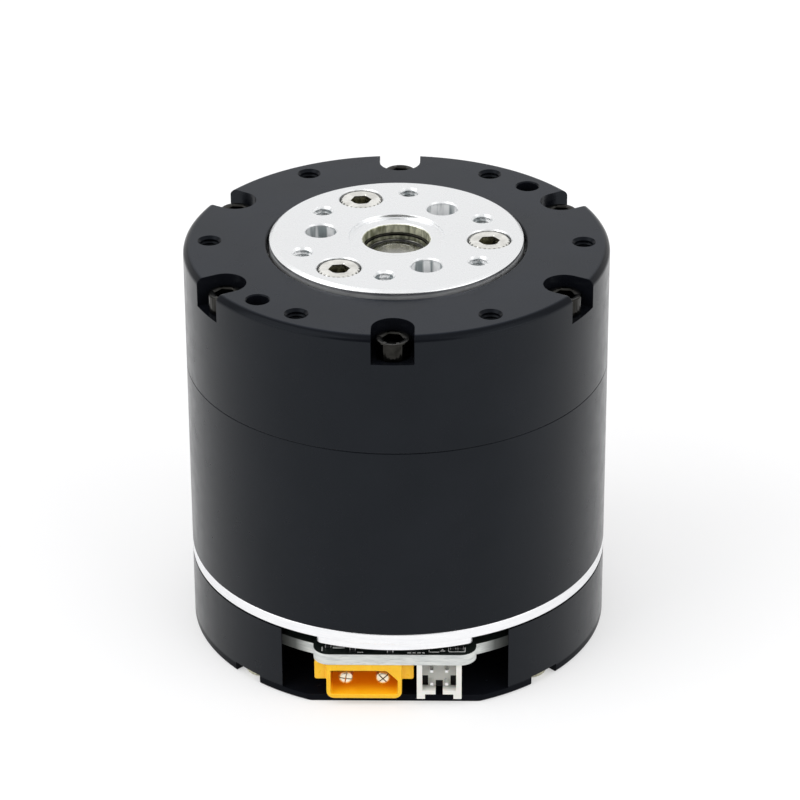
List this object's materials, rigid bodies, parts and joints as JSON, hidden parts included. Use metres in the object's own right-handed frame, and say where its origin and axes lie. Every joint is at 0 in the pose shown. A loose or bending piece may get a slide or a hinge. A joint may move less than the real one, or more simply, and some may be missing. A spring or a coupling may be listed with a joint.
{
  "type": "robot joint actuator",
  "caption": "Cylindrical robot joint actuator: an outrunner motor and two-stage planetary gearbox in black casings, with a silver bolt-on output flange and connectors at the base.",
  "frame": {"origin": "centre of the rear cover's base, on the output axis", "axes": "+Z along the output axis, out of the output flange; -Y towards the connectors"},
  "size_m": [0.057, 0.057, 0.057],
  "materials": {
    "casing_black": "satin black anodised",
    "plate_silver": "bright turned aluminium",
    "flange_silver": "turned aluminium, fine machining marks",
    "carrier_steel": "machined steel",
    "bearing_steel": "ground and polished",
    "gear_steel": "hardened and oiled",
    "pin_steel": "ground",
    "bell_steel": "plated steel",
    "magnet_nickel": "nickel plated",
    "lamination_steel": "coated laminations",
    "copper_wire": "enamelled copper",
    "board_black": "black solder mask on glass fibre board",
    "chip_black": "moulded epoxy",
    "power_amber": "moulded nylon",
    "pin_gold": "gold plated",
    "header_white": "moulded nylon",
    "pin_tin": "tin plated",
    "screw_black": "black oxide",
    "screw_steel": "stainless"
  },
  "bodies": {
    "housing": {"front_housing": "casing_black", "motor_housing": "casing_black", "end_plate": "plate_silver", "rear_cover": "casing_black", "ring_gear": "gear_steel", "main_bearing_outer_race": "bearing_steel", "front_rotor_bearing_outer_race": "bearing_steel", "rear_rotor_bearing_outer_race": "bearing_steel", "stator_core": "lamination_steel", "stator_coils": "copper_wire", "phase_leads": "copper_wire", "driver_board": "board_black", "encoder_chip": "chip_black", "controller_chip": "chip_black", "power_transistors": "chip_black", "capacitors": "chip_black", "board_screws": "screw_steel", "power_connector": "power_amber", "power_pins": "pin_gold", "signal_header": "header_white", "signal_pins": "pin_tin", "housing_screws": "screw_black", "cover_screws": "screw_steel"},
    "output": {"output_flange": "flange_silver", "output_carrier": "carrier_steel", "output_screws": "screw_steel", "second_planet_pins": "pin_steel", "main_bearing_inner_race": "bearing_steel", "centre_bearing_outer_race": "bearing_steel"},
    "first_carrier": {"first_carrier": "carrier_steel", "second_sun": "gear_steel", "first_planet_pins": "pin_steel", "centre_bearing_inner_race": "bearing_steel"},
    "rotor": {"rotor_shaft": "pin_steel", "rotor_bell": "bell_steel", "rotor_magnets": "magnet_nickel", "first_sun": "gear_steel", "encoder_magnet": "magnet_nickel", "front_rotor_bearing_inner_race": "bearing_steel", "rear_rotor_bearing_inner_race": "bearing_steel"},
    "second_planet_1": {"second_planet_1": "gear_steel"},
    "first_planet_1": {"first_planet_1": "gear_steel"},
    "second_planet_2": {"second_planet_2": "gear_steel"},
    "first_planet_2": {"first_planet_2": "gear_steel"},
    "second_planet_3": {"second_planet_3": "gear_steel"},
    "first_planet_3": {"first_planet_3": "gear_steel"}
  },
  "joints": [
    {"name": "output_turn", "type": "hinge", "parent": "housing", "child": "output", "pos_m": [0, 0, 0.053], "axis": [0, 0, 1], "continuous": true},
    {"name": "first_carrier_turn", "type": "hinge", "parent": "housing", "child": "first_carrier", "pos_m": [0, 0, 0.0386], "axis": [0, 0, 1], "continuous": true},
    {"name": "rotor_turn", "type": "hinge", "parent": "housing", "child": "rotor", "pos_m": [0, 0, 0.02], "axis": [0, 0, 1], "continuous": true},
    {"name": "second_planet_1_spin", "type": "hinge", "parent": "output", "child": "second_planet_1", "pos_m": [0.00709, 0.00968, 0.042], "axis": [0, 0, 1], "continuous": true},
    {"name": "first_planet_1_spin", "type": "hinge", "parent": "first_carrier", "child": "first_planet_1", "pos_m": [0.00709, 0.00968, 0.0352], "axis": [0, 0, 1], "continuous": true},
    {"name": "second_planet_2_spin", "type": "hinge", "parent": "output", "child": "second_planet_2", "pos_m": [-0.01193, 0.0013, 0.042], "axis": [0, 0, 1], "continuous": true},
    {"name": "first_planet_2_spin", "type": "hinge", "parent": "first_carrier", "child": "first_planet_2", "pos_m": [-0.01193, 0.0013, 0.0352], "axis": [0, 0, 1], "continuous": true},
    {"name": "second_planet_3_spin", "type": "hinge", "parent": "output", "child": "second_planet_3", "pos_m": [0.00484, -0.01098, 0.042], "axis": [0, 0, 1], "continuous": true},
    {"name": "first_planet_3_spin", "type": "hinge", "parent": "first_carrier", "child": "first_planet_3", "pos_m": [0.00484, -0.01098, 0.0352], "axis": [0, 0, 1], "continuous": true}
  ],
  "couplings": [
    {"joint": "first_carrier_turn", "follows": "output_turn", "ratio": 5},
    {"joint": "rotor_turn", "follows": "output_turn", "ratio": 25},
    {"joint": "second_planet_1_spin", "follows": "output_turn", "ratio": -2.6667},
    {"joint": "first_planet_1_spin", "follows": "output_turn", "ratio": -13.333},
    {"joint": "second_planet_2_spin", "follows": "output_turn", "ratio": -2.6667},
    {"joint": "first_planet_2_spin", "follows": "output_turn", "ratio": -13.333},
    {"joint": "second_planet_3_spin", "follows": "output_turn", "ratio": -2.6667},
    {"joint": "first_planet_3_spin", "follows": "output_turn", "ratio": -13.333}
  ]
}
